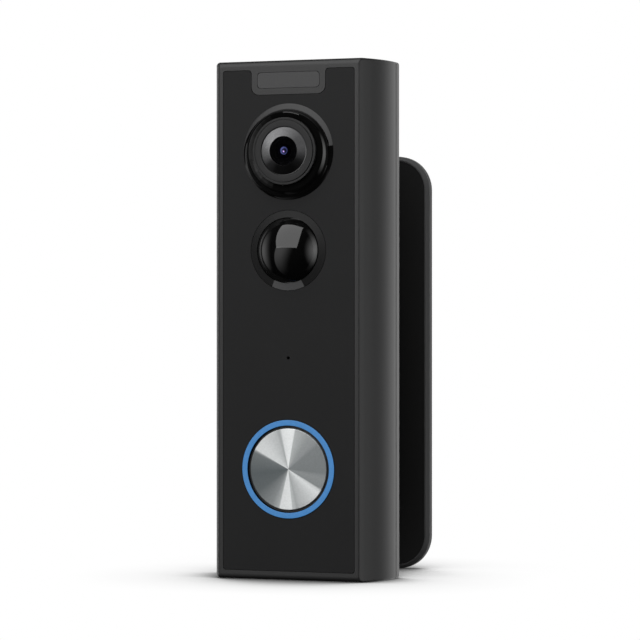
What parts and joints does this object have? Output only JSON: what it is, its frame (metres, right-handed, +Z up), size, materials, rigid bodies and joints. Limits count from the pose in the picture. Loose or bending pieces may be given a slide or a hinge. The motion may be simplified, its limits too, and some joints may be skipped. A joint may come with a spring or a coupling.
{
  "type": "video door phone",
  "caption": "Slim battery door phone that clamps through a door leaf, with a camera, motion sensor and lit bell button outside and a thin rounded plate indoors.",
  "frame": {"origin": "middle of the underside of the whole object, on the surface it stands on", "axes": "+X to the right seen from outdoors, +Y back through the door towards the room, +Z up"},
  "size_m": [0.061, 0.0664, 0.17],
  "materials": {
    "charcoal_plastic": "fine moulded grain",
    "panel_plastic": "fine moulded grain",
    "gloss_black": "polished",
    "night_window": "satin",
    "sensor_grey": "satin",
    "satin_metal": "turned satin",
    "brushed_disc": "radially brushed",
    "front_glass": "coated",
    "blue_light": "satin, lit from behind",
    "black_plastic": "plain",
    "black_rubber": "plain",
    "tray_plastic": "fine moulded grain",
    "board_green": "solder mask",
    "flex_amber": "film",
    "lamp_resin": "clear resin",
    "sheet_steel": "zinc plated",
    "screw_steel": "zinc plated",
    "bush_brass": "turned",
    "cell_foil": "foil wrap",
    "wire_red": "plain"
  },
  "bodies": {
    "station": {"main_shell": "charcoal_plastic", "front_panel": "panel_plastic", "name_plate": "charcoal_plastic", "camera_bezel": "gloss_black", "lens_shroud": "night_window", "lens_trim_ring": "satin_metal", "lens_glass": "front_glass", "lens_element": "front_glass", "lens_barrel": "black_plastic", "lens_holder": "black_plastic", "ir_board": "board_green", "ir_lamps": "lamp_resin", "image_sensor": "black_plastic", "camera_board": "board_green", "camera_flex": "flex_amber", "pir_dome": "gloss_black", "pir_ring": "sensor_grey", "sensor_window": "sensor_grey", "pir_sensor": "sheet_steel", "pir_spacer": "black_rubber", "mic_boot": "black_rubber", "microphone": "sheet_steel", "light_ring": "blue_light", "button_guide": "black_plastic", "button_spring": "screw_steel", "switch_body": "black_plastic", "button_board": "board_green", "ring_lamps": "lamp_resin", "button_flex": "flex_amber", "main_board": "board_green", "shield_can": "sheet_steel", "antenna": "sheet_steel", "battery": "cell_foil", "battery_pad": "black_rubber", "battery_lead": "wire_red", "speaker_gasket": "black_rubber", "speaker": "black_plastic", "rear_seal": "black_rubber", "rear_cover": "charcoal_plastic", "charge_board": "board_green", "charge_flex": "flex_amber", "charge_socket": "sheet_steel", "board_screws": "screw_steel", "case_screws": "screw_steel", "clamp_inserts": "bush_brass"},
    "bell": {"button_cap": "brushed_disc", "button_carrier": "black_plastic", "switch_plunger": "black_plastic"},
    "door_plate": {"indoor_tray": "tray_plastic", "stiffener_plate": "sheet_steel", "door_pad": "black_rubber", "indoor_cover": "tray_plastic", "clamp_screws": "screw_steel"},
    "flap": {"port_flap": "black_rubber"}
  },
  "joints": [
    {"name": "bell_press", "type": "slide", "parent": "station", "child": "bell", "axis": [0, 1, 0], "range_m": [0, 0.0008], "stiffness_N_per_m": 1500, "springref_m": -0.0008, "deforming": ["button_spring"]},
    {"name": "door_plate_slide", "type": "slide", "parent": "station", "child": "door_plate", "axis": [0, 1, 0], "range_m": [0, 0.007]},
    {"name": "flap_hinge", "type": "hinge", "parent": "station", "child": "flap", "pos_m": [0, -0.0041, 0.1532], "axis": [1, 0, 0], "range_deg": [0, 95]}
  ]
}
